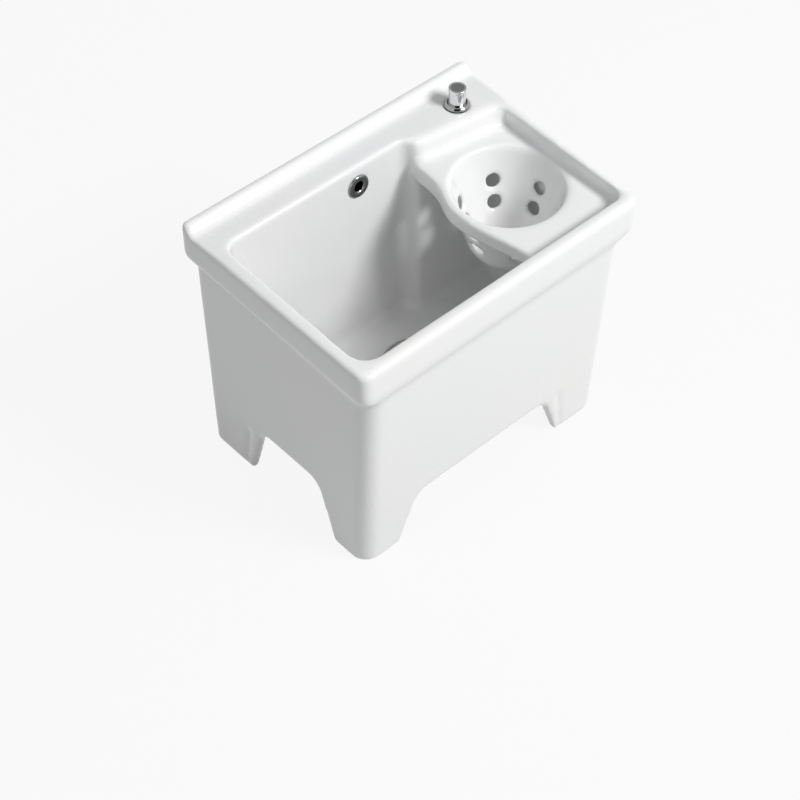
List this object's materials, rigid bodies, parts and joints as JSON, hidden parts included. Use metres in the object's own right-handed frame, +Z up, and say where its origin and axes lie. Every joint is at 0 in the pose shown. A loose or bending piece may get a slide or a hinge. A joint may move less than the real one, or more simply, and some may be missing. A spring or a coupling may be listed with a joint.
{
  "type": "floor-standing mop sink",
  "caption": "Glazed ceramic mop sink on feet, with a perforated wringing cup on a side shelf, an upstand at the wall, an overflow, and a deck knob that lifts the drain plug by cable.",
  "frame": {"origin": "on the floor, under the middle of the tub's overall width and depth", "axes": "+X to the right when facing the front, -Y out of the front, +Y into the wall behind, +Z up"},
  "size_m": [0.46, 0.32, 0.415],
  "materials": {
    "glazed_white": "gloss glaze over white vitreous china",
    "chrome": "polished chrome plate",
    "polished_steel": "satin stainless steel",
    "steel": "plain stainless steel",
    "brass": "machined brass",
    "wire_steel": "drawn steel wire",
    "rubber_black": "matt moulded rubber",
    "sheath_black": "satin extruded sheath",
    "plastic_black": "moulded plastic, fine texture",
    "plastic_white": "moulded plastic, fine texture",
    "hose_grey": "soft extruded hose"
  },
  "bodies": {
    "tub": {"ceramic_body": "glazed_white", "deck_flange": "chrome", "deck_gasket": "rubber_black", "deck_washer": "plastic_black", "deck_nut": "brass", "sleeve_cap": "plastic_black", "cable_sheath": "sheath_black", "cable_wire": "wire_steel", "cable_ferrules": "steel", "cable_guide": "plastic_black", "guide_nut": "plastic_black", "drain_flange": "polished_steel", "drain_gasket": "rubber_black", "under_gasket": "rubber_black", "drain_nut": "plastic_white", "stem_guide": "plastic_white", "drain_body": "plastic_white", "body_gasket": "rubber_black", "outlet_elbow": "plastic_white", "outlet_nut": "plastic_white", "outlet_washer": "rubber_black", "overflow_ring": "chrome", "overflow_gasket": "rubber_black", "overflow_elbow": "plastic_black", "overflow_hose": "hose_grey", "hose_clips": "steel"},
    "knob": {"control_knob": "chrome", "knob_seal": "rubber_black", "knob_spindle": "brass", "knob_wire": "wire_steel"},
    "plug": {"drain_plug": "polished_steel", "plug_seal": "rubber_black", "plug_stem": "steel", "stem_lifter": "brass", "plug_wire": "wire_steel"}
  },
  "joints": [
    {"name": "plug_lift", "type": "slide", "parent": "tub", "child": "plug", "axis": [0, 0, 1], "range_m": [0, 0.012]},
    {"name": "knob_press", "type": "slide", "parent": "tub", "child": "knob", "axis": [0, 0, -1], "range_m": [0, 0.012]}
  ],
  "couplings": [
    {"joint": "knob_press", "follows": "plug_lift", "ratio": 1}
  ]
}
